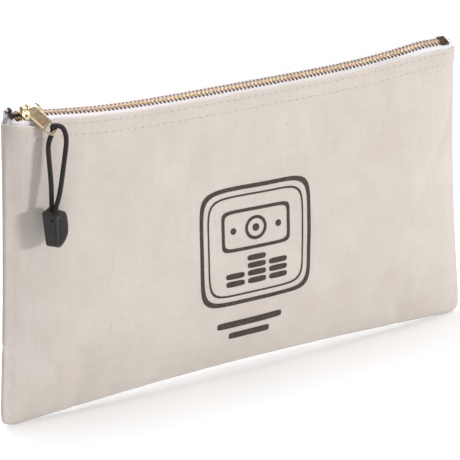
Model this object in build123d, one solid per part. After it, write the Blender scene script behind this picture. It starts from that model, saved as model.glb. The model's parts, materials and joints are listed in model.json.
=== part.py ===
from build123d import *
import copy
import math
import os

# Cash deposit bag: two canvas panels sewn along the sides and bottom, a metal zip across the mouth,
# and a corded pull. Millimetres. X runs along the zip, the front faces -Y, Z is up, and the origin
# is the middle of the flat strip that the bag stands on.

# ---- Driving dimensions ----
BOTTOM_WIDTH = 318.0
TOP_WIDTH = 305.0
PANEL_HEIGHT = 174.0       # nominal height that the panel shape is worked out over
SIDE_PULL = 2.0            # how far each side draws in halfway up
BASE_DEPTH = 6.5           # half thickness at the bottom, on the centre line
MOUTH_DEPTH = 9.2          # half thickness at the mouth
BELLY = 1.8                # extra half thickness halfway up
CANVAS = 0.9               # one layer of canvas
HEM_HEIGHT = 15.0
SIDE_POWER = 6.0           # how squarely the panels curve in to the side seams, low down
MOUTH_POWER = 20.0         # the same at the mouth, which the zip holds open
SEAM_LAP = 2.5             # width of the joint face where the two panels meet at a side
ALLOWANCE = 13.0           # seam allowance turned to the inside
SECTION_STEPS = 27         # spots along each panel section

ZIP_HEIGHT = 174.3         # height of the chain's middle
ZIP_TILT = 15.0            # the chain leans this many degrees to the front
TOOTH_PITCH = 2.54
TOOTH_LENGTH = 1.13        # along the zip
TOOTH_THICK = 2.4
TOOTH_OUT = 2.95           # from the chain's middle out to the tooth's back
TOOTH_IN = 0.55            # how far the tooth's head passes the middle
TEETH_FROM, TEETH_TO = -146.3, 140.0
TAPE = 0.6
TAPE_END = 150.5
BEAD_RADIUS = 0.7
BEAD_OUT = 1.3             # bead centre from the chain's middle
OPEN_SPREAD = 1.75         # each row's offset where the rows are parted, left of the slider

SLIDER_X = -137.5          # slider's middle with the bag zipped shut
SLIDER_HALF = 6.25
PLATE_TOP = 2.5
PLATE_BOTTOM = -2.5
CHANNEL = 1.4              # half height of the channel that the teeth run in
FLANGE_GAP = 0.6           # half height of the slot that the tape runs in
ROD_HEIGHT = 5.4           # centre of the bridge's rod above the chain's middle
ROD_WIDTH, ROD_THICK = 1.6, 1.0

STITCH_PITCH = 4.4
STITCH = (3.2, 0.35, 0.45)     # length, thickness, height of one visible stitch
STITCH_REACH = 140.8
STITCH_ROWS = {"upper": 166.3, "lower": 159.3}

# Pull tab: it leans on the slider's front edge, out over the front panel and a little to the right.
TAB_ALONG = Vector(0.311, -0.805, -0.505).normalized()
TAB_FACE = Vector(-0.661, -0.565, 0.493)
TAB_BAR = 20.5             # from the hinge to the middle of the tab's end bar
CORD_RADIUS = 1.35

# The cord's route, from the knot up the left leg, through the tab's window from behind, over the
# end bar and down the right leg to the knot again.
CORD_ROUTE = [
    (-131.4, -16.9, 116.1),
    (-131.4, -16.9, 123.1),
    (-131.2, -16.8, 134.1),
    (-131.3, -16.4, 144.7),
    (-132.1, -15.6, 153.4),
    (-132.4, -14.7, 161.2),
    (-130.8, -14.8, 166.6),
    (-130.7, -14.9, 169.2),
    (-132.4, -16.6, 171.4),
    (-132.3, -18.7, 172.7),
    (-130.6, -20.8, 172.7),
    (-128.3, -21.8, 171.4),
    (-126.3, -22.6, 165.9),
    (-126.1, -22.4, 159.6),
    (-126.5, -21.8, 152.2),
    (-127.0, -21.4, 144.6),
    (-128.1, -20.6, 135.5),
    (-129.5, -19.7, 127.6),
    (-129.9, -19.5, 121.9),
    (-129.9, -19.5, 116.1),
]
END_CENTRE = (-130.2, -18.25, 112.9)
END_WIDE = Vector(0.857, 0.515, 0)
END_FACE = Vector(0.515, -0.857, 0)
KNOT_TOP = 116.1

FRONT, BACK = -1, 1
CHAIN = Plane(
    origin=(0, 0, ZIP_HEIGHT),
    x_dir=(1, 0, 0),
    z_dir=(0, -math.sin(math.radians(ZIP_TILT)), math.cos(math.radians(ZIP_TILT))),
)


def save(name, shape):
    """Write one node's solids to its own STEP file."""
    solids = shape.solids()
    for solid in solids:
        solid.label = name
    node = solids[0] if len(solids) == 1 else Compound(children=list(solids))
    node.label = name
    export_step(node, f"parts/{name}.step")


def block(x_span, y_span, z_span):
    """A box given by its spans along X, Y and Z."""
    size = [high - low for low, high in (x_span, y_span, z_span)]
    middle = [(high + low) / 2 for low, high in (x_span, y_span, z_span)]
    return Pos(*middle) * Box(*size)


# ---- Canvas panels ----
def half_width(z):
    share = z / PANEL_HEIGHT
    straight = (BOTTOM_WIDTH + (TOP_WIDTH - BOTTOM_WIDTH) * share) / 2
    return straight - SIDE_PULL * math.sin(math.pi * share)


def half_depth(z):
    share = z / PANEL_HEIGHT
    return BASE_DEPTH + (MOUTH_DEPTH - BASE_DEPTH) * share + BELLY * math.sin(math.pi * share)


def power(z):
    return SIDE_POWER + (MOUTH_POWER - SIDE_POWER) * (z / PANEL_HEIGHT) ** 4


def panel_y(x, z, inset=0.0, seam_inset=0.0):
    """Distance of a panel's surface from the seam plane, set in from the outer face."""
    share = min(1.0, abs(x) / (half_width(z) - seam_inset))
    return (half_depth(z) - inset) * (1 - share ** power(z))


def section(z, side, inset=0.0, seam_inset=0.0):
    """The closed outline between the seam plane and a panel's surface at one height."""
    reach = half_width(z) - seam_inset
    angles = [math.pi * (i / (SECTION_STEPS - 1) - 0.5) for i in range(SECTION_STEPS)]
    spots = [reach * math.sin(angle) for angle in angles]
    points = [(x, side * panel_y(x, z, inset, seam_inset), z) for x in spots]
    points[0] = (-reach, 0, z)
    points[-1] = (reach, 0, z)
    return Face(Wire([Spline(*points).edge(), Line(points[-1], points[0]).edge()]))


def form(side, heights, inset=0.0, seam_inset=0.0):
    return loft([section(z, side, inset, seam_inset) for z in heights])


def mouth_cut(side):
    """Everything above the panel's top edge, which dips at both ends where the slider parks."""
    lift = 0.0 if side == FRONT else 3.0
    right = [(121, 171.3 + lift), (131, 167.0), (141, 167.0), (145, 164.4), (170, 164.4), (170, 200)]
    left = [(-x, z) for x, z in reversed(right)]
    outline = Face(Polyline(*[(x, 0, z) for x, z in left + right], close=True).wire())
    return extrude(outline, amount=30, both=True)


def seam_allowance(side, outer):
    """The panel's sides and bottom, turned inwards behind the seam."""
    slab = block((-160, 160), sorted((0, side * CANVAS)), (CANVAS / 2, 150))
    bottom, top = half_width(ALLOWANCE) - ALLOWANCE, half_width(150) - ALLOWANCE
    low = CANVAS + ALLOWANCE * 0.7
    points = [(-bottom, low), (bottom, low), (top, 151), (-top, 151)]
    window = Face(Polyline(*[(x, 0, z) for x, z in points], close=True).wire())
    return (outer & slab) - extrude(window, amount=5, both=True)


def panel(side):
    top = PANEL_HEIGHT + 3
    hem_foot = 171.3 - HEM_HEIGHT
    low_levels = [CANVAS, 12, 40, 80, 120, 145, hem_foot]
    outer = form(side, [0, 12, 40, 80, 120, 145, 159.3, 166.3, 171, top])
    inner = form(side, low_levels, CANVAS, SEAM_LAP)
    hem_space = form(side, [hem_foot, 160, 166.3, 171, top + 1], 2 * CANVAS, SEAM_LAP)
    tape_slot = block((-TAPE_END - 0.5, TAPE_END + 0.5), sorted((0, side * 0.74)), (157, top + 1))
    shell = outer - inner - hem_space - tape_slot
    return (shell + seam_allowance(side, outer)) - mouth_cut(side)


# ---- Zip ----
def on_chain(x, across, up=0.0):
    """A point given by its place along, across and above the chain."""
    return CHAIN.from_local_coords(Vector(x, across, up))


def spread(x):
    """How far each row has parted from the meshed chain, on the slider's left."""
    start, end = SLIDER_X + 1.0, SLIDER_X - 4.5
    share = min(1.0, max(0.0, (start - x) / (start - end)))
    return OPEN_SPREAD * share


def ribbon(points, thickness):
    """A ribbon's outline in a YZ plane, around its centre line."""
    sides = ([], [])
    for i, (y, z) in enumerate(points):
        before, after = points[max(0, i - 1)], points[min(len(points) - 1, i + 1)]
        run = Vector(after[0] - before[0], after[1] - before[1]).normalized()
        for edge, sign in zip(sides, (1, -1)):
            edge.append((y - sign * run.Y * thickness / 2, z + sign * run.X * thickness / 2))
    return sides[0] + sides[1][::-1]


def tape_section(x, side):
    """The tape runs flat out of the teeth, past the slider's edge, then down inside the hem."""
    inner = on_chain(x, side * (BEAD_OUT + BEAD_RADIUS + 0.05 + spread(x)))
    outer = on_chain(x, side * 5.85)
    shoulder = (side * 5.95, outer.Z - 3.3)
    hem_y = side * max(0.37, panel_y(abs(x) + 1.6, 156, 2 * CANVAS, SEAM_LAP) - TAPE / 2 - 0.12)
    points = [(inner.Y, inner.Z), (outer.Y, outer.Z), shoulder]
    points += [(hem_y, 165.0), (hem_y, 158.2)]
    outline = [(x, y, z) for y, z in ribbon(points, TAPE)]
    return Polyline(*outline, close=True).wire()


def tape(side):
    left = [-TAPE_END, -148.5, -146.5, -144, SLIDER_X - 4.5, SLIDER_X + 1.0, -132, -126, -110, -60]
    right = [0, 60, 110, 126, 132, 137.5, 142, 144, 146.5, 148.5, TAPE_END]
    sections = [tape_section(x, side) for x in left + right]
    return Solid.make_loft(sections, ruled=True)


def bead(side):
    """The cord sewn along the tape's inner edge, which the teeth clamp."""
    ends = [-TAPE_END, SLIDER_X - 4.5, SLIDER_X + 1.0, TAPE_END]
    points = [on_chain(x, side * (BEAD_OUT + spread(x))) for x in ends]
    path = Polyline(*points)
    profile = Plane(origin=points[0], z_dir=(1, 0, 0)) * Circle(BEAD_RADIUS)
    return sweep(profile, path=path, transition=Transition.RIGHT)


def clamp(length, out, reach, thickness):
    """A block that closes over the bead and tape, with its back at out and its head at -reach."""
    middle = (out - reach) / 2
    body = Pos(0, middle, 0) * Box(length, out + reach, thickness)
    bore = Pos(0, BEAD_OUT, 0) * Rot(0, 90, 0) * Cylinder(BEAD_RADIUS + 0.06, length + 1)
    slot = Pos(0, BEAD_OUT + out, 0) * Box(length + 1, 2 * out, TAPE + 0.08)
    return body - bore - slot


def tooth():
    """One scoop: a thick back around the bead and a head narrowed to mesh with the other row."""
    head_cut = Pos(0, -TOOTH_IN, TOOTH_THICK / 2) * Rot(45, 0, 0) * Box(TOOTH_LENGTH + 1, 0.8, 0.8)
    scoop = clamp(TOOTH_LENGTH, TOOTH_OUT, TOOTH_IN, TOOTH_THICK)
    return scoop - head_cut - head_cut.mirror(Plane.XY)


def on_row(shape, x, side):
    """Place a shape made for the back row on either row, following its parting."""
    turned = shape if side == BACK else shape.mirror(Plane.XZ)
    at = on_chain(x, side * spread(x))
    return CHAIN.location * (Pos(*CHAIN.to_local_coords(at)) * turned)


def teeth(side):
    shift = 0.0 if side == FRONT else TOOTH_PITCH / 2
    count = int((TEETH_TO - TEETH_FROM) / TOOTH_PITCH)
    single = tooth()
    spots = [TEETH_FROM + shift + i * TOOTH_PITCH for i in range(count)]
    return Compound([on_row(copy.copy(single), x, side).solid() for x in spots])


def top_stop(side):
    return on_row(clamp(1.9, 3.4, -0.35, 2.8), TEETH_FROM - 2.6, side)


def bottom_stop():
    """A staple closed over both beads at the chain's right-hand end."""
    length, width, thickness = 5.2, 6.8, 3.0
    body = Box(length, width, thickness)
    for side in (FRONT, BACK):
        body -= Pos(0, side * BEAD_OUT, 0) * Rot(0, 90, 0) * Cylinder(BEAD_RADIUS + 0.06, length + 1)
        body -= Pos(0, side * (BEAD_OUT + width / 2), 0) * Box(length + 1, width, TAPE + 0.08)
    return CHAIN.location * (Pos(TEETH_TO + 4.0, 0, 0) * body)


# ---- Slider ----
def slider_outline(shoulder, tail):
    """Heart-shaped plate outline, with two lobes at the left and a narrow tail at the right."""
    upper = [(-5.3, 0), (-6.1, 1.2), (-SLIDER_HALF, 2.6), (-5.6, 4.4), (-4.0, shoulder)]
    upper += [(-1.6, shoulder - 0.15), (1.2, tail + 0.3), (5.2, tail), (SLIDER_HALF, tail - 1.0)]
    lower = [(x, -y) for x, y in upper[:0:-1]]
    return make_face(Polyline(*upper, *lower, close=True))


def slider_channel():
    """The Y-shaped way that the two rows take through the slider."""
    upper = [(-7.5, 4.85), (-3.4, 4.85), (1.7, 3.1), (7.5, 3.1)]
    lower = [(x, -y) for x, y in reversed(upper)]
    return make_face(Polyline(*upper, *lower, close=True))


def slider_body():
    top = extrude(Pos(0, 0, FLANGE_GAP) * slider_outline(5.55, 3.9), PLATE_TOP - FLANGE_GAP)
    bottom = extrude(Pos(0, 0, PLATE_BOTTOM) * slider_outline(5.05, 3.9), -PLATE_BOTTOM - FLANGE_GAP)
    body = top + bottom
    body -= extrude(Pos(0, 0, -CHANNEL) * slider_channel(), 2 * CHANNEL)
    wedge = [(-5.9, 0.45), (-5.2, 1.05), (-4.9, 1.05), (-2.2, 0.2)]
    wedge += [(x, -y) for x, y in reversed(wedge)]
    post = extrude(Pos(0, 0, PLATE_BOTTOM) * make_face(Polyline(*wedge, close=True)), 2 * PLATE_TOP)
    rim = body.faces().sort_by(Axis.Z)[-1].edges()
    body = chamfer(rim, 0.35)
    return CHAIN.location * (Pos(SLIDER_X, 0, 0) * (body + post))


def slider_bridge():
    """The arch on the slider's top, whose rod carries the pull tab."""
    reach, width, foot = 4.4, 2.2, 1.4
    rod_top = ROD_HEIGHT + ROD_THICK / 2
    rod = block((-reach, reach), (-ROD_WIDTH / 2, ROD_WIDTH / 2), (rod_top - ROD_THICK, rod_top))
    posts = [
        block(sorted((end * (reach - foot), end * reach)), (-width / 2, width / 2), (PLATE_TOP, rod_top))
        for end in (-1, 1)
    ]
    arch = rod + posts[0] + posts[1]
    corners = arch.faces().sort_by(Axis.Z)[-1].edges().filter_by(Axis.Y).sort_by(Axis.X)
    arch = fillet([corners[0], corners[-1]], 1.0)
    return CHAIN.location * (Pos(SLIDER_X, 0, 0) * arch)


# ---- Pull tab and cord ----
HINGE = on_chain(SLIDER_X, 0, ROD_HEIGHT)
TAB = Plane(origin=HINGE, x_dir=TAB_ALONG, z_dir=TAB_FACE)


def pull_tab():
    """An eye around the bridge's rod, a neck, and a plate with two rails and a window for the cord."""
    width, rail, thick, recess = 6.2, 1.15, 1.5, 0.45
    half = width / 2
    outline = [(4.6, -1.5), (7.8, -half), (20.0, -half), (21.4, -half + 1.2)]
    outline += [(x, -y) for x, y in reversed(outline)]
    plate = extrude(make_face(Polyline(*outline, close=True)), thick / 2, both=True)
    plate -= block((15.6, 19.6), (-half + rail, half - rail), (-thick, thick))
    for face in (-1, 1):
        z_span = sorted((face * (thick / 2 - recess), face * thick))
        plate -= block((7.4, 14.6), (-half + rail, half - rail), z_span)
    neck = block((1.5, 5.4), (-1.2, 1.2), (-0.5, 0.5))
    flat = TAB.location * (plate + neck)
    eye = Pos(*HINGE) * Rot(0, 90, 0) * Torus(1.6, 0.5)
    return flat + eye


def cord_radii(route):
    """Each corner's arc radius: as large as its two runs allow."""
    radii = []
    for before, corner, after in zip(route, route[1:], route[2:]):
        first, second = Vector(corner) - Vector(before), Vector(after) - Vector(corner)
        turn = math.radians(first.get_angle(second))
        radii.append(0.45 * min(first.length, second.length) / math.tan(turn / 2))
    return radii


def pull_cord():
    radii = cord_radii(CORD_ROUTE)
    path = FilletPolyline(*CORD_ROUTE, radius=radii)
    start = Plane(origin=CORD_ROUTE[0], z_dir=Vector(CORD_ROUTE[1]) - Vector(CORD_ROUTE[0]))
    cord = sweep(start * Circle(CORD_RADIUS), path=path)
    length = path.length
    print("cord radii", [round(radius, 1) for radius in radii])
    print("cord length", round(length, 2), "volume over section times length",
          round(cord.volume / (length * math.pi * CORD_RADIUS**2), 4))
    return cord


END = Plane(origin=END_CENTRE, x_dir=END_WIDE, z_dir=END_FACE)


def cord_end():
    """The moulded grip as (body, cover): a pick shape, thinner at the bottom, that holds the knot."""
    with BuildLine() as edge:
        side = Line((-5.0, 9.9), (-3.9, -8.6))
        foot = RadiusArc(side @ 1, (-1.2, -11.2), -3.0)
        belly = Spline(foot @ 1, (4.0, -8.0), (6.2, -1.6), (5.0, 4.6), (3.9, 10.4))
        Line(belly @ 1, side @ 0)
    outline = extrude(make_face(edge.edges()), 6, both=True)
    wedge = Polyline((10, 12, 4.15), (10, 12, -4.15), (10, -12, -3.2), (10, -12, 3.2), close=True)
    whole = outline & extrude(Face(wedge.wire()), amount=20, dir=(-1, 0, 0))
    split = 2.8
    cover = whole & block((-10, 10), (-15, 15), (split, 6))
    body = whole & block((-10, 10), (-15, 15), (-6, split))
    body -= block((-3.5, 2.8), (-2.6, KNOT_TOP - END_CENTRE[2] + 0.1), (-3.3, split))
    ridge = Box(16, 0.55, 0.5)
    for step in range(7):
        stripe = Pos(1.0, -8.0 + 2.1 * step, 3.75) * Rot(0, 0, 42) * ridge
        cover += stripe & (Pos(0.4, 0, 0) * outline) & outline & block((-3.2, 6), (-9, 7), (3.3, 3.95))
    body, cover = END.location * body, END.location * cover
    for x, y, _ in (CORD_ROUTE[0], CORD_ROUTE[-1]):
        body -= Pos(x, y, KNOT_TOP + 6) * Cylinder(CORD_RADIUS + 0.12, 12)
    return body, cover


def cord_knot():
    """The stopper knot that both of the cord's ends run into."""
    (left_x, left_y, _), (right_x, right_y, _) = CORD_ROUTE[0], CORD_ROUTE[-1]
    radius, height = 2.95, 5.0
    middle = Pos((left_x + right_x) / 2, (left_y + right_y) / 2, KNOT_TOP - height / 2)
    knot = Cylinder(radius, height)
    return middle * fillet(knot.edges().sort_by(Axis.Z)[0], 1.4)


# ---- Stitches ----
def hem_stitches(z, side):
    """One row of lockstitches along the hem, each lying on the canvas."""
    count = int(2 * STITCH_REACH / STITCH_PITCH)
    step = 0.5
    stitches = []
    for i in range(count + 1):
        x = -STITCH_REACH + i * STITCH_PITCH
        here = Vector(x, side * panel_y(x, z), z)
        along = Vector(2 * step, side * (panel_y(x + step, z) - panel_y(x - step, z)), 0)
        upward = Vector(0, side * (panel_y(x, z + step) - panel_y(x, z - step)), 2 * step)
        outward = along.cross(upward).normalized()
        if outward.Y * side < 0:
            outward = -outward
        seat = Plane(origin=here + outward * (STITCH[1] / 2 + 0.03), x_dir=along, z_dir=outward)
        stitches.append(seat.location * Box(STITCH[0], STITCH[2], STITCH[1]))
    return Compound(stitches)


def side_seam_stitches(end):
    """Stitches through both seam allowances, on their two faces, down one side."""
    stitches = []
    for i in range(30):
        z = 16 + i * STITCH_PITCH
        x = end * (half_width(z) - ALLOWANCE + 2.2)
        for side in (FRONT, BACK):
            stitches.append(Pos(x, side * (CANVAS + 0.16), z) * Box(0.45, 0.28, STITCH[0]))
    return Compound(stitches)


def bottom_seam_stitches():
    stitches = []
    for i in range(61):
        x = -132 + i * STITCH_PITCH
        for side in (FRONT, BACK):
            stitches.append(Pos(x, side * (CANVAS + 0.16), 7.6) * Box(STITCH[0], 0.28, 0.45))
    return Compound(stitches)


def main():
    os.makedirs("parts", exist_ok=True)
    for side, name in ((FRONT, "front"), (BACK, "back")):
        save(f"{name}_panel", panel(side))
        save(f"{name}_tape", tape(side))
        save(f"{name}_bead_cord", bead(side))
        save(f"{name}_teeth", teeth(side))
        save(f"{name}_top_stop", top_stop(side))
        for row, height in STITCH_ROWS.items():
            save(f"{name}_{row}_stitches", hem_stitches(height, side))
    save("bottom_stop", bottom_stop())
    save("left_seam_stitches", side_seam_stitches(-1))
    save("right_seam_stitches", side_seam_stitches(1))
    save("bottom_seam_stitches", bottom_seam_stitches())
    save("slider_body", slider_body())
    save("slider_bridge", slider_bridge())
    save("pull_tab", pull_tab())
    save("pull_cord", pull_cord())
    save("cord_knot", cord_knot())
    body, cover = cord_end()
    save("cord_end_body", body)
    save("cord_end_cover", cover)


main()
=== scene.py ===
"""Looks of a canvas cash deposit bag: sewn pouch, metal zip, brass slider and tab, corded pull."""
import json
import math

import bmesh
import bpy
import numpy as np
from mathutils import Matrix, Vector, noise
from mathutils.bvhtree import BVHTree


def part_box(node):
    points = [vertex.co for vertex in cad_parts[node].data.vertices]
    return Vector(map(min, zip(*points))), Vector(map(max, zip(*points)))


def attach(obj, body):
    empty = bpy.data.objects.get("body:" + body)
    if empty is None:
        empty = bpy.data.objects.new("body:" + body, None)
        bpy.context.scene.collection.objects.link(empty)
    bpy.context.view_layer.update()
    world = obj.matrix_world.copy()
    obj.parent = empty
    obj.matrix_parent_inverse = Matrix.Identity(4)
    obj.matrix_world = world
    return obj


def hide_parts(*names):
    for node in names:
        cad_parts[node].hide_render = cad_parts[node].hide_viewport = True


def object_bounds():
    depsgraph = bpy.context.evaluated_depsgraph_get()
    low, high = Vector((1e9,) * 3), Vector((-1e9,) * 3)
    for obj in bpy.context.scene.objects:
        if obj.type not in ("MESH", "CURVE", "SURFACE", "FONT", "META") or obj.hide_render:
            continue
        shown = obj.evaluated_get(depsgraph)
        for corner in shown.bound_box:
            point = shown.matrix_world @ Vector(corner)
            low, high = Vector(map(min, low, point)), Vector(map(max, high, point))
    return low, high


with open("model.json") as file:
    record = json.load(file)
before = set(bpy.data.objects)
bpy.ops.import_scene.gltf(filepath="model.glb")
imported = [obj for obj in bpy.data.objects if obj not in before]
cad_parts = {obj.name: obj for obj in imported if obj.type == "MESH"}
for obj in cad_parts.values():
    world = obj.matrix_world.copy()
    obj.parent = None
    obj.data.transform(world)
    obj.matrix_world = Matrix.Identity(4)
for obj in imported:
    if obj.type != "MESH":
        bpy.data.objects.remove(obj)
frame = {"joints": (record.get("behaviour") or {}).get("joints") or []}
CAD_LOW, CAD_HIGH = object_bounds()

MM = 0.001
FRONT, BACK = -1, 1
SIDES = (("front", FRONT), ("back", BACK))

# ---- Sizes read from the frame ----
PANEL_LOW, PANEL_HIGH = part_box("front_panel")
TEETH_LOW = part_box("front_teeth")[0]
TAPE_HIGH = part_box("front_tape")[1]
SLIDER_LOW, SLIDER_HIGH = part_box("slider_body")
STOP_LOW, STOP_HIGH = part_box("bottom_stop")
JOINTS = {joint["name"]: joint for joint in frame["joints"]}
SLIDER_X = (SLIDER_LOW.x + SLIDER_HIGH.x) / 2 + 2.3 * MM
SLIDER_TRAVEL = JOINTS["slider_travel"]["range_m"][1]
TAB_HINGE = Vector(JOINTS["tab_flip"]["pos_m"])
BOTTOM_HALF = PANEL_HIGH.x + 1.0 * MM
TOP_HALF = TAPE_HIGH.x + 2.0 * MM
MOUTH_DEPTH = -PANEL_LOW.y - 0.7 * MM
CHAIN_Z = (STOP_LOW.z + STOP_HIGH.z) / 2
CHAIN_TILT = math.radians(15)

# ---- Sizes of the looks ----
CANVAS = 0.85 * MM
BAG_HEIGHT = 172.7 * MM            # front hem's edge, at the ends
BACK_LIFT = 1.3 * MM               # how much higher the back hem ends
BOTTOM_BOW = 4.4 * MM              # the bottom seam rises this much at its middle
CHAIN_SAG = 5.2 * MM               # the mouth hangs this much lower at its middle
LEFT_PULL, RIGHT_PULL = 0.8 * MM, 2.6 * MM    # how far each side draws in halfway up
LEFT_FLARE = 2.0 * MM              # the bottom left corner reaches this much further out
BELLY = 1.0 * MM
HEM_DEPTH = 14.0 * MM
MOUTH_SQUARENESS = 40.0            # how bluntly the mouth ends at the side seams
COLUMNS, ROWS = 132, 74
TOOTH_PITCH = 2.54 * MM
TOOTH_PLACES = 114                 # on each row, with the one that the top stop takes up
STITCH_PITCH = 4.65 * MM
STITCH_LENGTH = 3.1 * MM
STITCH_REACH = 140.8 * MM         # how far the stitch rows run from the middle
STITCH_ROWS = (("upper", 2.3 * MM), ("lower", 8.8 * MM))    # how far below the hem's edge
OPEN_SPREAD = 1.75 * MM
BEAD_OUT = 1.3 * MM
TAPE_REACH = 149.8 * MM            # how far each tape runs from the middle
TAPE_WIDTH = 16.5 * MM             # one tape's, from its bead to its lower edge
STOP_SHIFT = 2.8 * MM              # the top stops sit this much nearer the slider


# ---- Material helpers ----
class Shader:
    """A node material built by short calls."""

    def __init__(self, name, rough=0.6, metallic=0.0):
        self.material = bpy.data.materials.new(name)
        self.material.use_nodes = True
        self.nodes = self.material.node_tree.nodes
        self.links = self.material.node_tree.links
        self.surface = self.nodes["Principled BSDF"]
        self.surface.inputs["Roughness"].default_value = rough
        self.surface.inputs["Metallic"].default_value = metallic
        self.place = self.nodes.new("ShaderNodeTexCoord").outputs["Object"]

    def node(self, kind, **settings):
        made = self.nodes.new(kind)
        for key, value in settings.items():
            setattr(made, key, value)
        return made

    def join(self, source, target):
        self.links.new(source, target)

    def fill(self, target, value):
        """Give an input a number, a colour or another node's output."""
        if isinstance(value, (int, float)):
            target.default_value = value
        elif isinstance(value, tuple):
            target.default_value = (*value, 1)
        else:
            self.join(value, target)

    def noise(self, scale, detail=2.0, stretch=None):
        made = self.node("ShaderNodeTexNoise")
        made.inputs["Scale"].default_value = scale
        made.inputs["Detail"].default_value = detail
        self.join(self.stretched(stretch), made.inputs["Vector"])
        return made.outputs["Fac"]

    def stretched(self, stretch):
        if stretch is None:
            return self.place
        mapping = self.node("ShaderNodeMapping")
        mapping.inputs["Scale"].default_value = stretch
        self.join(self.place, mapping.inputs["Vector"])
        return mapping.outputs["Vector"]

    def wave(self, period, axis, distortion=0.0):
        """Parallel ribs, one per period in metres, across the axis."""
        made = self.node("ShaderNodeTexWave", wave_type="BANDS", bands_direction=axis)
        made.inputs["Scale"].default_value = math.pi / (10 * period)
        made.inputs["Distortion"].default_value = distortion
        made.inputs["Detail"].default_value = 1.0
        self.join(self.place, made.inputs["Vector"])
        return made.outputs["Fac"]

    def ramp(self, source, stops):
        made = self.node("ShaderNodeValToRGB")
        while len(made.color_ramp.elements) < len(stops):
            made.color_ramp.elements.new(0.5)
        for element, (spot, colour) in zip(made.color_ramp.elements, stops):
            element.position = spot
            element.color = (*colour, 1)
        self.join(source, made.inputs["Fac"])
        return made.outputs["Color"]

    def mix(self, factor, first, second, mode="MIX"):
        made = self.node("ShaderNodeMix", data_type="RGBA", blend_type=mode)
        for socket, value in ((0, factor), (6, first), (7, second)):
            self.fill(made.inputs[socket], value)
        return made.outputs[2]

    def math(self, kind, first, second=0.0):
        made = self.node("ShaderNodeMath", operation=kind)
        for socket, value in enumerate((first, second)):
            self.fill(made.inputs[socket], value)
        return made.outputs[0]

    def colour(self, source):
        self.join(source, self.surface.inputs["Base Color"])

    def mottled(self, scale, detail, *stops):
        """Colour in soft patches, from one stop to the next."""
        self.colour(self.ramp(self.noise(scale, detail), stops))

    def roughness(self, source, low, high):
        made = self.node("ShaderNodeMapRange")
        made.inputs["To Min"].default_value = low
        made.inputs["To Max"].default_value = high
        self.join(source, made.inputs["Value"])
        self.join(made.outputs["Result"], self.surface.inputs["Roughness"])

    def bump(self, height, distance, strength=1.0):
        made = self.node("ShaderNodeBump")
        made.inputs["Distance"].default_value = distance
        made.inputs["Strength"].default_value = strength
        self.join(height, made.inputs["Height"])
        self.join(made.outputs["Normal"], self.surface.inputs["Normal"])


def weave_height(shader):
    """The plain weave: upright and level threads, a little over half a millimetre apart."""
    return shader.math("MULTIPLY", shader.wave(0.62 * MM, "X", 1.2), shader.wave(0.66 * MM, "Z", 1.2))


def canvas_material():
    """Unbleached cotton duck: plain weave, slubs, soft mottling and a few dark seed flecks."""
    shader = Shader("natural_canvas", rough=0.92)
    mottle = shader.ramp(shader.noise(38, 3),
                         [(0.3, (0.545, 0.492, 0.446)), (0.72, (0.585, 0.536, 0.494))])
    weave = weave_height(shader)
    slub = shader.noise(620, 2, (0.10, 1.0, 1.0))
    upright_slub = shader.noise(620, 2, (1.0, 1.0, 0.10))
    threads = shader.math("ADD", shader.math("MULTIPLY", slub, 0.5),
                          shader.math("MULTIPLY", upright_slub, 0.5))
    shade = shader.ramp(threads, [(0.34, (0.945, 0.94, 0.935)), (0.62, (1.0, 1.0, 1.0))])
    tone = shader.mix(1.0, mottle, shade, "MULTIPLY")
    flecks = shader.node("ShaderNodeTexVoronoi", feature="F1")
    flecks.inputs["Scale"].default_value = 105
    shader.join(shader.place, flecks.inputs["Vector"])
    spot = shader.math("LESS_THAN", flecks.outputs["Distance"], 0.055)
    chosen = shader.math("GREATER_THAN", shader.noise(75, 0), 0.60)
    seeds = shader.math("MULTIPLY", spot, chosen)
    tone = shader.mix(shader.math("MULTIPLY", seeds, 0.45), tone, (0.24, 0.17, 0.11))
    shader.colour(tone)
    height = shader.math("ADD", weave, shader.math("MULTIPLY", threads, 1.6))
    shader.bump(height, 0.10 * MM, 0.8)
    shader.surface.inputs["Sheen Weight"].default_value = 0.25
    shader.surface.inputs["Sheen Roughness"].default_value = 0.6
    return shader.material


def tape_material():
    """White cotton zip tape, with fine ribs along its length."""
    shader = Shader("white_tape", rough=0.85)
    shader.mottled(900, 2, (0.3, (0.62, 0.61, 0.64)), (0.7, (0.69, 0.68, 0.71)))
    ribs = shader.wave(0.42 * MM, "X", 0.6)
    shader.bump(shader.math("ADD", ribs, shader.noise(1500, 1)), 0.08 * MM, 0.8)
    shader.surface.inputs["Sheen Weight"].default_value = 0.2
    return shader.material


def thread_material():
    shader = Shader("undyed_thread", rough=0.7)
    shader.mottled(1400, 1, (0.3, (0.52, 0.47, 0.425)), (0.7, (0.60, 0.55, 0.50)))
    shader.bump(shader.wave(0.25 * MM, "DIAGONAL"), 0.05 * MM, 0.8)
    return shader.material


def needle_hole_material():
    shader = Shader("needle_hole_shade", rough=0.95)
    shader.mottled(900, 1, (0.3, (0.36, 0.30, 0.24)), (0.7, (0.44, 0.38, 0.31)))
    return shader.material


def brass_material(name, deep, bright, rough):
    """Cast or stamped brass, darker in its patches of tarnish, with faint tool marks."""
    shader = Shader(name, rough=rough, metallic=1.0)
    shader.mottled(420, 4, (0.34, deep), (0.62, bright))
    shader.roughness(shader.noise(1800, 3), rough - 0.08, rough + 0.14)
    marks = shader.math("ADD", shader.noise(2600, 2), shader.noise(700, 2, (1.0, 4.0, 1.0)))
    shader.bump(marks, 0.012 * MM, 0.35)
    return shader.material


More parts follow.
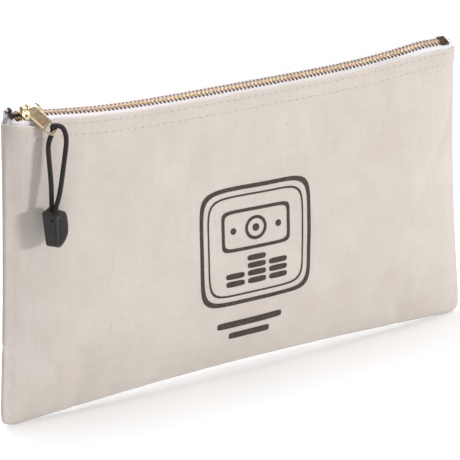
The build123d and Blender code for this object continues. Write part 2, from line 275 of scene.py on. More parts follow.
def antique_brass_material():
    """Browned brass, rubbed bright where the wear attribute says so."""
    shader = Shader("antique_brass", rough=0.3, metallic=1.0)
    wear = shader.node("ShaderNodeAttribute", attribute_name="wear").outputs["Fac"]
    patches = shader.noise(900, 3)
    dark = shader.ramp(patches, [(0.38, (0.055, 0.030, 0.015)), (0.66, (0.24, 0.145, 0.075))])
    bright = shader.ramp(patches, [(0.34, (0.46, 0.31, 0.18)), (0.62, (0.68, 0.49, 0.31))])
    shader.colour(shader.mix(wear, dark, bright))
    shader.roughness(shader.noise(1800, 3), 0.24, 0.46)
    shader.bump(shader.noise(2600, 2), 0.012 * MM, 0.35)
    return shader.material


def cord_material():
    """Black braid: crossed diagonal strands a third of a millimetre wide."""
    shader = Shader("black_braid", rough=0.55)
    shader.mottled(1600, 2, (0.3, (0.008, 0.007, 0.006)), (0.75, (0.024, 0.020, 0.017)))
    rising = shader.wave(0.75 * MM, "DIAGONAL", 0.8)
    level = shader.wave(0.62 * MM, "Z", 0.8)
    shader.bump(shader.math("MAXIMUM", rising, level), 0.12 * MM, 0.9)
    shader.surface.inputs["Specular IOR Level"].default_value = 0.3
    return shader.material


def grip_material():
    """Charcoal moulded plastic with a fine spark-eroded grain."""
    shader = Shader("charcoal_grip", rough=0.48)
    shader.mottled(500, 3, (0.3, (0.012, 0.011, 0.010)), (0.75, (0.030, 0.027, 0.024)))
    shader.roughness(shader.noise(2200, 2), 0.38, 0.62)
    shader.bump(shader.noise(4200, 2), 0.03 * MM, 0.6)
    shader.surface.inputs["Specular IOR Level"].default_value = 0.38
    return shader.material


def ink_material():
    """Dark brown screen print, soaked in and broken a little by the weave."""
    shader = Shader("printed_ink", rough=0.9)
    shader.mottled(700, 3, (0.32, (0.030, 0.024, 0.020)), (0.75, (0.075, 0.062, 0.052)))
    shader.bump(weave_height(shader), 0.08 * MM, 0.6)
    return shader.material


MATERIALS = {
    "canvas": canvas_material(),
    "zip_tape": tape_material(),
    "stitch_thread": thread_material(),
    "antique_brass": antique_brass_material(),
    "yellow_brass": brass_material("yellow_brass", (0.73, 0.59, 0.39), (0.85, 0.73, 0.53), 0.24),
    "cord_braid": cord_material(),
    "grip_plastic": grip_material(),
}
SUNK_BRASS = brass_material("sunk_brass", (0.44, 0.31, 0.18), (0.62, 0.46, 0.29), 0.45)
DARK_BRASS = brass_material("dark_brass", (0.035, 0.020, 0.010), (0.17, 0.105, 0.055), 0.30)
INK = ink_material()
NEEDLE_HOLE = needle_hole_material()


# ---- Mesh helpers ----
def mesh_object(name, points, faces):
    mesh = bpy.data.meshes.new(name)
    mesh.from_pydata([tuple(p) for p in points], [], faces)
    piece = bpy.data.objects.new(name, mesh)
    bpy.context.scene.collection.objects.link(piece)
    return piece


def new_piece(name, points, faces, body, slot, material=None):
    """A smooth piece of the model, riding on its body, in its slot's material unless told."""
    piece = mesh_object(name, points, faces)
    piece.data.validate()
    piece.data.materials.append(material or MATERIALS[slot])
    piece.data.shade_smooth()
    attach(piece, body)
    return piece


def grid_faces(rows, columns, start=0):
    return [
        (start + r * columns + c, start + r * columns + c + 1,
         start + (r + 1) * columns + c + 1, start + (r + 1) * columns + c)
        for r in range(rows - 1) for c in range(columns - 1)
    ]


def apply_modifier(piece, kind, **settings):
    """Add a modifier and bake it into the mesh."""
    modifier = piece.modifiers.new(kind.lower(), kind)
    for key, value in settings.items():
        setattr(modifier, key, value)
    bpy.context.view_layer.objects.active = piece
    piece.select_set(True)
    bpy.ops.object.modifier_apply(modifier=modifier.name)
    piece.select_set(False)


def axes(first, second, third, place):
    """The matrix that puts X, Y and Z along three directions at a place."""
    matrix = Matrix((first, second, third)).transposed().to_4x4()
    matrix.translation = place
    return matrix


def face_outwards(piece):
    made = bmesh.new()
    made.from_mesh(piece.data)
    bmesh.ops.recalc_face_normals(made, faces=made.faces)
    made.to_mesh(piece.data)
    made.free()


# ---- The pouch's shape ----
def mouth_drop(x):
    """How far the zip hangs below its ends, nothing where the slider parks."""
    share = min(1.0, abs(x) / (130 * MM))
    return CHAIN_SAG * (1 - share ** 4) ** 1.3


def corner_shift(across, up):
    """How much the two bottom corners are rounded off, as (inwards, upwards)."""
    edge = (1 - abs(across)) * BOTTOM_HALF
    height = up * BAG_HEIGHT
    inwards = 1.7 * MM * math.exp(-height / (2.8 * MM))
    upwards = 2.6 * MM * math.exp(-edge / (2.6 * MM))
    return inwards, upwards


def pouch_point(across, up, side):
    """The pouch's outer surface: across runs -1 to 1 between the side seams, up runs 0 to 1."""
    pull = LEFT_PULL if across < 0 else RIGHT_PULL
    half = BOTTOM_HALF + (TOP_HALF - BOTTOM_HALF) * up - pull * math.sin(math.pi * up)
    if across < 0:
        half += LEFT_FLARE * (1 - up) ** 2
    inwards, upwards = corner_shift(across, up)
    x = across * (half - inwards)
    bottom = BOTTOM_BOW * (1 - across ** 2) ** 1.2 + upwards
    top = BAG_HEIGHT - mouth_drop(x) + (BACK_LIFT if side == BACK else 0.0)
    top -= slider_dip(x, side)
    z = bottom + up * (top - bottom)
    squareness = 8.0 + (MOUTH_SQUARENESS - 8.0) * up ** 8
    swell = (MOUTH_DEPTH + BELLY * math.sin(math.pi * up)) * (1 - (1 - up) ** 8)
    y = side * swell * (1 - abs(across) ** squareness)
    return Vector((x, y, z))


def slider_dip(x, side):
    """The hem's edge dips where the slider stands at either limit, and at the zip's ends."""
    parked = math.exp(-((x - SLIDER_X) / (11 * MM)) ** 2)
    closed = math.exp(-((x - SLIDER_X - SLIDER_TRAVEL) / (13 * MM)) ** 2)
    left_end = (1 - parked) / (1 + math.exp((x + 146 * MM) / (1.5 * MM)))
    right_end = (1 - closed) / (1 + math.exp((140 * MM - x) / (3 * MM)))
    if side == FRONT:
        return (3.2 * parked + 2.4 * closed + 0.9 * left_end + 2.6 * right_end) * MM
    return (3.0 * parked + 1.0 * closed + 2.0 * left_end + 4.0 * right_end) * MM


def undulation(point):
    """Slow, shallow waves left in the cloth by handling, in metres outwards."""
    spot = Vector((point.x * 11, point.z * 15, point.y * 40 + 3.1))
    slow = noise.noise(spot) * 1.1
    quick = noise.noise(spot * 3.3 + Vector((5, 1, 2))) * 0.30
    crease_along = (point.x - 0.140) * 0.55 + (point.z - 0.112) * 0.83
    crease_off = (point.x - 0.140) * 0.83 - (point.z - 0.112) * 0.55
    crease = -1.3 * math.exp(-(crease_off / (3.5 * MM)) ** 2 - (crease_along / (22 * MM)) ** 2)
    return (slow + quick + (crease if point.y < 0 else 0.0)) * MM


def seam_pucker(across, up, x, z):
    """Small scallops where the stitched seams gather the cloth, in metres outwards."""
    from_side = (1 - abs(across)) * BOTTOM_HALF
    from_foot = up * BAG_HEIGHT
    from_hem = (1 - up) * BAG_HEIGHT
    side_wave = math.sin(z * 520 + 1.7 * math.sin(z * 70)) * math.exp(-from_side / (7 * MM))
    foot_wave = math.sin(x * 430 + 2.0 * math.sin(x * 60)) * math.exp(-from_foot / (7 * MM))
    hem_wave = math.sin(x * 350 + 2.3 * math.sin(x * 47)) * math.exp(-abs(from_hem - 17 * MM) / (6 * MM))
    groove = math.exp(-((from_side - 4.2 * MM) / (1.9 * MM)) ** 2)
    return (0.30 * side_wave + 0.30 * foot_wave + 0.22 * hem_wave - 0.45 * groove) * MM


def hold(across, up):
    """How firmly the simulation holds the cloth: at the mouth, and at the stiff bottom corners."""
    mouth = (up - 0.86) / 0.07
    reach = math.hypot((1 - abs(across)) * BOTTOM_HALF, up * BAG_HEIGHT)
    corner = (45 * MM - reach) / (20 * MM)
    return max(0.0, min(1.0, max(mouth, corner)))


def grid_shares():
    """Where the pouch's columns and rows run, closer together at its seams and its mouth."""
    spots, heights = [], []
    for i in range(COLUMNS + 1):
        t = 2 * i / COLUMNS - 1
        spots.append(0.72 * t + 0.28 * math.sin(math.pi / 2 * t))
    for j in range(ROWS + 1):
        t = j / ROWS
        heights.append(0.7 * t + 0.3 * (1 - math.cos(math.pi / 2 * t)))
    return spots, heights


def build_pouch():
    """Front and back as one welded mesh, with how firmly each point is held."""
    spots, heights = grid_shares()
    points, index = [], {}
    for side in (FRONT, BACK):
        for j, up in enumerate(heights):
            for i, across in enumerate(spots):
                seam = i in (0, COLUMNS) or j == 0
                key = (0 if seam and up < 1 else side, i, j)
                if key in index:
                    continue
                point = pouch_point(across, up, side)
                if not seam:
                    fade = min(1.0, up / 0.06, (1 - abs(across)) / 0.04, (1 - up) / 0.05)
                    point.y += side * undulation(point) * max(0.0, fade)
                    pucker = seam_pucker(across, up, point.x, point.z)
                    point.y += side * pucker * min(1.0, (1 - up) / 0.05)
                index[key] = len(points)
                points.append(point)

    def find(side, i, j):
        return index.get((side, i, j), index.get((0, i, j)))

    faces = []
    for side in (FRONT, BACK):
        for j in range(ROWS):
            for i in range(COLUMNS):
                corners = ((i, j), (i + 1, j), (i + 1, j + 1), (i, j + 1))
                quad = [find(side, column, row) for column, row in corners]
                faces.append(quad if side == FRONT else quad[::-1])
    held = {find(side, i, j): hold(spots[i], heights[j])
            for side in (FRONT, BACK) for j in range(ROWS + 1) for i in range(COLUMNS + 1)}
    return points, faces, held, find


CLOTH = dict(quality=6, mass=0.15, tension_stiffness=30, compression_stiffness=30, shear_stiffness=12,
             bending_stiffness=6, shrink_min=-0.0015, use_pressure=True, uniform_pressure_force=0.10,
             vertex_group_mass="held")


def settle(points, faces, held, frames=14, cap=2.4 * MM):
    """Cloth simulation of the pouch: light pressure inside, no gravity, mouth and corners pinned."""
    piece = mesh_object("pouch_cloth", points, faces)
    pins = piece.vertex_groups.new(name="held")
    for vertex, weight in held.items():
        if weight > 0:
            pins.add([vertex], weight, "REPLACE")
    cloth = piece.modifiers.new("cloth", "CLOTH")
    for key, value in CLOTH.items():
        setattr(cloth.settings, key, value)
    cloth.settings.effector_weights.gravity = 0.0
    cloth.collision_settings.use_collision = False
    cloth.point_cache.frame_start = 1
    cloth.point_cache.frame_end = frames
    scene = bpy.context.scene
    for step in range(1, frames + 1):
        scene.frame_set(step)
    settled = piece.evaluated_get(bpy.context.evaluated_depsgraph_get()).to_mesh()
    result = []
    for before, vertex in zip(points, settled.vertices):
        move = Vector(vertex.co) - before
        if move.length > cap:
            move = move.normalized() * cap
        result.append(before + move)
    piece.evaluated_get(bpy.context.evaluated_depsgraph_get()).to_mesh_clear()
    bpy.data.objects.remove(piece)
    scene.frame_set(1)
    return result


def panel_piece(name, side, points, find):
    """One canvas panel cut from the settled pouch, with its hem folded to the inside."""
    rows = [[points[find(side, i, j)].copy() for i in range(COLUMNS + 1)] for j in range(ROWS + 1)]
    edge = rows[-1]
    folds = [min(0.52 * MM, 0.45 * abs(p.y)) for p in edge]
    for angle in (36, 72, 108, 144, 180):
        turn = math.radians(angle)
        rows.append([p + Vector((0, -side * fold * (1 - math.cos(turn)), fold * math.sin(turn)))
                     for p, fold in zip(edge, folds)])
    for share in (0.25, 0.5, 0.75, 1.0):
        deep = []
        for i, (p, fold) in enumerate(zip(edge, folds)):
            z = p.z - HEM_DEPTH * share
            keep = max(side * surface_at(rows, i, z) - 2 * fold, 0.02 * MM)
            deep.append(Vector((p.x, side * keep, z)))
        rows.append(deep)
    flat = [p for row in rows for p in row]
    faces = grid_faces(len(rows), COLUMNS + 1)
    piece = new_piece(name, flat, faces, "bag", "canvas")
    if side == BACK:
        piece.data.flip_normals()
    apply_modifier(piece, "SOLIDIFY", thickness=CANVAS, offset=0.0, use_even_offset=True)
    piece.data.shade_smooth()
    return piece


def surface_at(rows, column, z):
    """The panel's y at a height, along one column of its grid."""
    for low, high in zip(rows, rows[1:ROWS + 1]):
        if low[column].z <= z <= high[column].z:
            share = (z - low[column].z) / max(1e-9, high[column].z - low[column].z)
            return low[column].y + share * (high[column].y - low[column].y)
    return rows[0][column].y


# ---- The zip's line ----
def lean(x):
    """How much further than at the slider the chain leans to the front, from its left end on."""
    share = min(1.0, max(0.0, (x + 118 * MM) / (130 * MM)))
    return math.radians(12) * share * share * (3 - 2 * share)


def parted(x):
    """How far each row has parted from the meshed chain, behind the slider."""
    start, end = SLIDER_X + 1.0 * MM, SLIDER_X - 4.5 * MM
    return OPEN_SPREAD * min(1.0, max(0.0, (start - x) / (start - end)))


def droop(x, side):
    """The open rows' free ends: the front one falls forward, the back one stands up."""
    share = min(1.0, max(0.0, (SLIDER_X - 5.5 * MM - x) / (7.0 * MM)))
    if side == FRONT:
        return Vector((0, -1.6, 1.2)) * MM * share
    return Vector((0, 0.3, 3.4)) * MM * share


def chain_point(x, across, up=0.0, side=0):
    """A point given by its place along, across and above the chain, as it sags."""
    tilt = CHAIN_TILT + lean(x)
    y = across * math.cos(tilt) - up * math.sin(tilt)
    z = across * math.sin(tilt) + up * math.cos(tilt)
    return Vector((x, y, CHAIN_Z - mouth_drop(x) + z)) + droop(x, side)


def row_matrix(x, side):
    """Where one tooth sits: its own X along the row, Y away from the chain's middle, Z up."""
    ahead = chain_point(x + 0.5 * MM, side * parted(x + 0.5 * MM), 0, side)
    behind = chain_point(x - 0.5 * MM, side * parted(x - 0.5 * MM), 0, side)
    along = (ahead - behind).normalized()
    tilt = CHAIN_TILT + lean(x)
    up = Vector((0, -math.sin(tilt), math.cos(tilt)))
    out = up.cross(along).normalized() * (1 if side == BACK else -1)
    up = along.cross(out) if side == BACK else out.cross(along)
    return axes(along, out, up, (ahead + behind) / 2)


# ---- Zip ----
def circle(sides):
    """Cosine and sine at even steps round a circle."""
    turns = [2 * math.pi * k / sides for k in range(sides)]
    return [(math.cos(turn), math.sin(turn)) for turn in turns]


def ringed(rings, closed=False):
    """Points and faces of a skin through rings of points: a closed hoop, or a tube with two ends."""
    sides, count = len(rings[0]), len(rings)
    faces = []
    for r in range(count if closed else count - 1):
        a, b = r * sides, (r + 1) % count * sides
        faces += [(a + k, a + (k + 1) % sides, b + (k + 1) % sides, b + k) for k in range(sides)]
    if not closed:
        faces += [tuple(reversed(range(sides))), tuple(range((count - 1) * sides, count * sides))]
    return [point for ring in rings for point in ring], faces


def tube(name, points, radius, body, slot):
    """A round tube along a line of points."""
    rings = []
    for i, point in enumerate(points):
        run = (points[min(i + 1, len(points) - 1)] - points[max(0, i - 1)]).normalized()
        first = run.cross(Vector((0, 0, 1))).normalized()
        second = run.cross(first)
        rings.append([point + (first * c + second * s) * radius for c, s in circle(10)])
    return new_piece(name, *ringed(rings), body, slot)


def hem_inside(x):
    """How far from the middle there is room inside the hem's inner layer."""
    share = min(1.0, abs(x) / TOP_HALF)
    return max(0.5 * MM, MOUTH_DEPTH * (1 - share ** MOUTH_SQUARENESS) - 2.1 * MM)


def tape_line(x, side):
    """The tape's section at x, from the bead out over the shoulder and down inside the hem."""
    drop = Vector((0, 0, -mouth_drop(x)))
    inner = chain_point(x, side * (BEAD_OUT + 0.3 * MM + parted(x)), 0, side)
    room = hem_inside(x)
    outer = chain_point(x, side * min(5.7 * MM, room), 0, side)
    shoulder = Vector((x, side * min(6.35 * MM, room), CHAIN_Z + side * 1.5 * MM - 3.4 * MM)) + drop
    shoulder += droop(x, side) * 0.4
    inside_hem = Vector((x, side * room, CHAIN_Z - 15.5 * MM)) + drop
    left_over = TAPE_WIDTH - (outer - inner).length - (shoulder - outer).length
    foot = shoulder + (inside_hem - shoulder).normalized() * left_over
    corners = [inner, outer, shoulder, foot]
    line = []
    for a, b, share in [(0, 1, 0), (0, 1, 0.35), (0, 1, 0.7), (0, 1, 0.93), (1, 2, 0.2),
                        (1, 2, 0.55), (1, 2, 0.9), (2, 3, 0.4), (2, 3, 0.7), (2, 3, 1)]:
        line.append(corners[a].lerp(corners[b], share))
    return line


def build_tape(name, side):
    count = 220
    lines = [tape_line(TAPE_REACH * (2 * i / count - 1), side) for i in range(count + 1)]
    points = [point for line in lines for point in line]
    faces = grid_faces(len(lines), len(lines[0]))
    piece = new_piece(name, points, faces, "bag", "zip_tape")
    apply_modifier(piece, "SOLIDIFY", thickness=0.55 * MM, offset=0.0)
    face_outwards(piece)
    return piece


def build_end_fold(name, end):
    """The tapes' ends, folded down together to close the mouth beside the zip."""
    rows, columns = 12, 21
    points = []
    for i in range(rows):
        turn = math.pi / 2 * i / (rows - 1)
        for k in range(columns):
            share = 2 * k / (columns - 1) - 1
            x = end * (145.5 + 5.6 * math.sin(turn)) * MM
            y = share * min(6.2 * MM, hem_inside(x) + 0.5 * MM)
            sink = 1.3 * MM + 12.5 * MM * (1 - math.cos(turn)) + 0.7 * MM * (1 - share ** 2)
            z = CHAIN_Z + y * math.tan(CHAIN_TILT) * math.cos(turn) - sink
            crease = 0.35 * MM * math.sin(share * 9 + end) * math.sin(2 * turn)
            points.append(Vector((x + end * crease, y, z)))
    piece = new_piece(name, points, grid_faces(rows, columns), "bag", "zip_tape")
    apply_modifier(piece, "SOLIDIFY", thickness=0.5 * MM, offset=0.0)
    apply_modifier(piece, "SUBSURF", levels=1, render_levels=1)
    face_outwards(piece)


def prism(outline, low, high):
    """A solid straight up from an outline, given in the XY plane."""
    count = len(outline)
    points = [(x, y, low) for x, y in outline] + [(x, y, high) for x, y in outline]
    faces = [tuple(range(count))[::-1], tuple(range(count, 2 * count))]
    faces += [(i, (i + 1) % count, (i + 1) % count + count, i + count) for i in range(count)]
    piece = mesh_object("part", points, faces)
    face_outwards(piece)
    return piece


def cuboid(x_span, y_span, z_span):
    """A block between the given limits, in millimetres."""
    (x0, x1), (y0, y1) = x_span, y_span
    outline = [(x0, y0), (x1, y0), (x1, y1), (x0, y1)]
    return prism(scaled(outline), z_span[0] * MM, z_span[1] * MM)


def combine(piece, other, operation):
    """Join, cut or keep only what two solids share; the other is used up."""
    apply_modifier(piece, "BOOLEAN", operation=operation, object=other, solver="EXACT")
    bpy.data.objects.remove(other)
    return piece


def soften(piece, width, segments=3, angle=28):
    """Round the solid's hard edges."""
    apply_modifier(piece, "BEVEL", width=width, segments=segments, limit_method="ANGLE",
                   angle_limit=math.radians(angle), use_clamp_overlap=True)
    piece.data.shade_smooth()
    apply_modifier(piece, "WEIGHTED_NORMAL", keep_sharp=True)


def finished(piece, name, matrix, body, slot, material=None):
    """Name and place a made solid, and let it ride on its body."""
    piece.data.transform(matrix)
    piece.name = name
    piece.data.name = name
    piece.data.materials.clear()
    piece.data.materials.append(material or MATERIALS[slot])
    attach(piece, body)


def copies(source, matrices, name, slot, material=None, worn=False):
    """Many placed copies of one small solid, as a single piece."""
    points = np.array([tuple(v.co) for v in source.data.vertices])
    loops = [tuple(p.vertices) for p in source.data.polygons]
    rubbed = np.clip((1.75 * MM - points[:, 1]) / (0.75 * MM), 0, 1)
    made, faces = [], []
    for matrix in matrices:
        placed = points @ np.array(matrix.to_3x3()).T + np.array(matrix.translation)
        start = len(made)
        made.extend(map(tuple, placed))
        flipped = matrix.determinant() < 0
        for loop in loops:
            shifted = tuple(start + v for v in loop)
            faces.append(shifted[::-1] if flipped else shifted)
    bpy.data.objects.remove(source)
    piece = new_piece(name, made, faces, "bag", slot, material)
    if worn:
        wear = piece.data.attributes.new("wear", "FLOAT", "POINT")
        wear.data.foreach_set("value", np.tile(rubbed, len(matrices)).astype(np.float32))
    return piece


def scoop():
    """One tooth: legs clenched over the bead, a waisted head with its little boss."""
    upper = [(-0.62, 0.55), (-0.25, 1.00), (0.5, 1.18), (1.2, 1.24), (1.5, 1.22), (2.4, 1.08), (2.95, 0.82),
             (3.12, 0.55), (3.12, 0.34), (2.2, 0.34), (1.95, 0.34)]
    side_view = upper + [(y, -z) for y, z in reversed(upper)]
    piece = prism(scaled(side_view), -0.61 * MM, 0.61 * MM)
    for vertex in piece.data.vertices:
        if vertex.co.x > 1.3 * MM:
            vertex.co.z *= 0.72
    piece.data.transform(Matrix(((0, 0, 1, 0), (1, 0, 0, 0), (0, 1, 0, 0), (0, 0, 0, 1))))
    face_outwards(piece)
    soften(piece, 0.13 * MM, 2)
    return piece


def build_teeth():
    first = TEETH_LOW.x + 0.565 * MM          # the first scoop's middle
    first_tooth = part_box("front_top_stop")[1].x + STOP_SHIFT + 0.6 * MM
    for name, side in SIDES:
        shift = 0.0 if side == FRONT else TOOTH_PITCH / 2
        spots = [first + shift + i * TOOTH_PITCH for i in range(TOOTH_PLACES)]
        matrices = [row_matrix(x, side) for x in spots if x > first_tooth]
        piece = copies(scoop(), matrices, name + "_teeth_scoops", "antique_brass", worn=True)
        face_outwards(piece)
        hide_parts(name + "_teeth")


def build_beads():
    for name, side in SIDES:
        spots = [(-148.0 + 298.6 * i / 240) * MM for i in range(241)]
        points = [chain_point(x, side * (BEAD_OUT + parted(x)), 0, side) for x in spots]
        piece = tube(name + "_bead_cord_line", points, 0.68 * MM, "bag", "zip_tape")
        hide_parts(name + "_bead_cord")


def build_stops():
    for name, side in (("front_top_stop", FRONT), ("back_top_stop", BACK)):
        low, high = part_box(name)
        x = (low.x + high.x) / 2 + STOP_SHIFT
        piece = cuboid((-1.1, 1.1), (0.35, 3.3), (-1.35, 1.35))
        soften(piece, 0.45 * MM, 4)
        finished(piece, name + "_clip", row_matrix(x, side), "bag", "antique_brass")
        face_outwards(piece)
        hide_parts(name)
    centre = (STOP_LOW.x + STOP_HIGH.x) / 2 + 0.3 * MM
    piece = cuboid((-2.6, 2.6), (-3.4, 3.4), (-1.5, 1.5))
    groove = cuboid((-4, 4), (-0.22, 0.22), (1.25, 2))
    combine(piece, groove, "DIFFERENCE")
    soften(piece, 0.4 * MM, 4)
    finished(piece, "bottom_stop_staple", row_matrix(centre, BACK), "bag", "antique_brass", DARK_BRASS)
    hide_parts("bottom_stop")


# ---- Slider and tab ----
def scaled(outline, factor=MM):
    """An outline in metres."""
    return [(x * factor, y * factor) for x, y in outline]


def smooth_outline(outline, rounds=2):
    """Corner cutting, which turns a few points into a soft closed curve."""
    for _ in range(rounds):
        made = []
        for (ax, ay), (bx, by) in zip(outline, outline[1:] + outline[:1]):
            for share in (0.25, 0.75):
                made.append(((1 - share) * ax + share * bx, (1 - share) * ay + share * by))
        outline = made
    return outline


def heart(shoulder, tail):
    """One slider plate's outline, wide at its shoulder and narrow at its tail."""
    upper = [(-5.2, 0.0), (-6.2, 1.2), (-6.35, 3.0), (-5.6, shoulder - 0.3), (-3.6, shoulder + 0.15),
             (-1.4, shoulder - 0.2), (1.4, tail + 0.25), (5.0, tail), (6.3, tail - 0.5), (6.35, 0.0)]
    lower = [(x, -y) for x, y in reversed(upper) if y > 0]
    return scaled(smooth_outline(upper + lower, 2))


def slider_place():
    """Where the slider stands at rest, tilted as the chain is."""
    matrix = Matrix.Rotation(CHAIN_TILT, 4, "X")
    matrix.translation = Vector((SLIDER_X, 0, CHAIN_Z))
    return matrix


def build_slider():
    """Two heart-shaped plates with turned-in flanges, joined by the wedge between the rows."""
    body = prism(heart(5.5, 3.95), 0.6 * MM, 2.35 * MM)
    bottom = prism(heart(5.1, 3.95), -2.5 * MM, -0.6 * MM)
    channel_top = scaled([(-7.5, -4.75), (-3.4, -4.75), (1.7, -3.1), (7.5, -3.1),
                          (7.5, 3.1), (1.7, 3.1), (-3.4, 4.75), (-7.5, 4.75)])
    combine(body, prism(channel_top, -1.4 * MM, 1.4 * MM), "DIFFERENCE")
    combine(bottom, prism(channel_top, -1.4 * MM, 1.4 * MM), "DIFFERENCE")
    wedge = scaled([(-5.9, 0.45), (-5.2, 1.05), (-4.9, 1.05), (-2.2, 0.2),
                    (-2.2, -0.2), (-4.9, -1.05), (-5.2, -1.05), (-5.9, -0.45)])
    combine(body, bottom, "UNION")
    combine(body, prism(wedge, -1.6 * MM, 1.6 * MM), "UNION")
    soften(body, 0.34 * MM, 3)
    finished(body, "slider_shell", slider_place(), "slider", "yellow_brass")
    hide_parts("slider_body")


UPRIGHT = Matrix.Rotation(math.radians(90), 4, "X")


def build_bridge():
    """The arch over the slider that holds the tab, on two rounded end blocks."""
    right_half = [(0.0, 6.15), (2.0, 6.1), (3.6, 5.75), (4.7, 4.9), (5.2, 3.6), (5.3, 1.9),
                  (3.9, 1.9), (3.75, 3.6), (3.2, 4.5), (1.6, 4.95), (0.0, 4.95)]
    arch = right_half + [(-x, z) for x, z in right_half[-2:0:-1]]
    bridge = prism(scaled(arch), -MM, MM)
    for vertex in bridge.data.vertices:
        share = min(1.0, max(0.0, (abs(vertex.co.x) / MM - 2.6) / 1.6))
        vertex.co.z *= 0.82 + 0.62 * share
    bridge.data.transform(UPRIGHT)
    face_outwards(bridge)
    soften(bridge, 0.32 * MM, 3)
    right_block = [(0.6, 1.9), (0.6, 5.6), (1.2, 6.25), (3.2, 6.3), (5.0, 5.7), (6.0, 4.2), (6.2, 1.9)]
    left_block = [(-6.1, 1.9), (-6.0, 4.9), (-5.4, 5.9), (-4.6, 6.1), (-4.05, 5.7), (-3.95, 1.9)]
    for outline, half in ((right_block, 2.15), (left_block, 2.0)):
        block = prism(scaled(smooth_outline(outline, 1)), -half * MM, half * MM)
        block.data.transform(UPRIGHT)
        face_outwards(block)
        soften(block, 0.6 * MM, 4)
        combine(bridge, block, "UNION")
    bridge.data.shade_smooth()
    apply_modifier(bridge, "WEIGHTED_NORMAL")
    finished(bridge, "slider_arch", slider_place(), "slider", "yellow_brass")
    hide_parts("slider_bridge")


def tab_place():
    """The hanging tab: along its length, across it and out of its face."""
    along = Vector((0.311, -0.805, -0.505)).normalized()
    face = Vector((-0.661, -0.565, 0.493))
    across = face.cross(along).normalized()
    face = along.cross(across)
    return axes(along, across, face, TAB_HINGE)


TAB_SUNK = (5.9, 15.4)             # where the tab's centre is sunk, along it, in millimetres


def tab_blank():
    """Stamped pull tab: raised rails, sunk centre on both faces, window and rounded end bar."""
    outline = [(6.3, -3.3), (4.8, -2.4), (3.4, -1.3), (2.3, -0.9), (2.3, 1.1), (3.0, 3.2), (7.0, 3.45),
               (19.0, 3.5), (21.0, 3.1), (22.2, 1.7), (22.2, -1.7), (21.0, -3.1), (19.0, -3.5), (7.6, -3.45)]
    plate = prism(scaled(smooth_outline(outline, 1)), -0.78 * MM, 0.78 * MM)
    window = [(16.2, -2.3), (19.2, -2.4), (20.6, -1.5), (20.6, 1.5), (19.2, 2.4), (16.2, 2.3)]
    combine(plate, prism(scaled(smooth_outline(window, 2)), -2 * MM, 2 * MM), "DIFFERENCE")
    for low, high in ((0.28, 2.0), (-2.0, -0.28)):
        combine(plate, cuboid(TAB_SUNK, (-2.35, 2.4), (low, high)), "DIFFERENCE")
    combine(plate, cuboid((1.5, 5.0), (-1.0, 1.0), (-0.5, 0.5)), "UNION")
    soften(plate, 0.26 * MM, 3)
    return plate


def is_sunk_floor(face):
    low, high = TAB_SUNK
    return (abs(face.normal.z) > 0.95 and abs(face.center.z) < 0.32 * MM
            and (low - 0.2) * MM < face.center.x < (high + 0.2) * MM)


def build_tab():
    plate = tab_blank()
    floors = [face.index for face in plate.data.polygons if is_sunk_floor(face)]
    finished(plate, "tab_plate", tab_place(), "tab", "yellow_brass")
    plate.data.materials.append(SUNK_BRASS)
    for index in floors:
        plate.data.polygons[index].material_index = 1
    rings = []
    for c, s in circle(40):
        out = Vector((0, c, s))
        centre = TAB_HINGE + out * 1.6 * MM
        rings.append([centre + (out * a + Vector((1.5, 0, 0)) * b) * 0.5 * MM for a, b in circle(10)])
    eye = new_piece("tab_eye", *ringed(rings, closed=True), "tab", "yellow_brass")
    face_outwards(eye)
    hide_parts("pull_tab")


# ---- Cord and grip ----
CORD_ROUTE = [
    (-0.1341, -0.0170, 0.1165),
    (-0.1339, -0.0170, 0.1215),
    (-0.1335, -0.0169, 0.1268),
    (-0.1332, -0.0168, 0.1353),
    (-0.1332, -0.0166, 0.1438),
    (-0.1335, -0.0161, 0.1530),
    (-0.1334, -0.0153, 0.1610),
    (-0.1312, -0.0155, 0.1662),
    (-0.1300, -0.0158, 0.1691),
    (-0.1317, -0.0175, 0.1713),
    (-0.1316, -0.0196, 0.1726),
    (-0.1299, -0.0217, 0.1726),
    (-0.1276, -0.0227, 0.1713),
    (-0.1260, -0.0230, 0.1656),
    (-0.1267, -0.0224, 0.1585),
    (-0.1280, -0.0218, 0.1498),
    (-0.1292, -0.0212, 0.1414),
    (-0.1304, -0.0205, 0.1340),
    (-0.1322, -0.0198, 0.1279),
    (-0.1333, -0.0195, 0.1240),
    (-0.1336, -0.0194, 0.1170),
]
CORD_DIAMETER = 2.7 * MM


def build_cord(grip_pieces):
    """The pull cord, up from the grip, through the tab and back down."""
    curve = bpy.data.curves.new("pull_cord_loop", "CURVE")
    curve.dimensions = "3D"
    spline = curve.splines.new("NURBS")
    spline.points.add(len(CORD_ROUTE) - 1)
    for point, place in zip(spline.points, CORD_ROUTE):
        point.co = (*place, 1)
    spline.order_u = 3
    spline.use_endpoint_u = True
    curve.resolution_u = 8
    curve.bevel_depth = CORD_DIAMETER / 2
    curve.bevel_resolution = 5
    curve.use_fill_caps = True
    cord = bpy.data.objects.new("pull_cord_loop", curve)
    bpy.context.scene.collection.objects.link(cord)
    curve.materials.append(MATERIALS["cord_braid"])
    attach(cord, "cord")
    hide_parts("pull_cord")
    return cord


GRIP_CENTRE = Vector((-0.1326, -0.01825, 0.1151))
GRIP_WIDE = Vector((0.857, 0.515, 0))
GRIP_FACE = Vector((0.515, -0.857, 0))
GRIP_SCALE = (1.12, 1.08, 1.12, 1.0)


def grip_place():
    """Where the grip hangs, and how much larger than drawn it is."""
    wide = GRIP_WIDE.normalized()
    face = GRIP_FACE.normalized()
    upright = face.cross(wide)
    return axes(wide, upright, face, GRIP_CENTRE) @ Matrix.Diagonal(GRIP_SCALE)


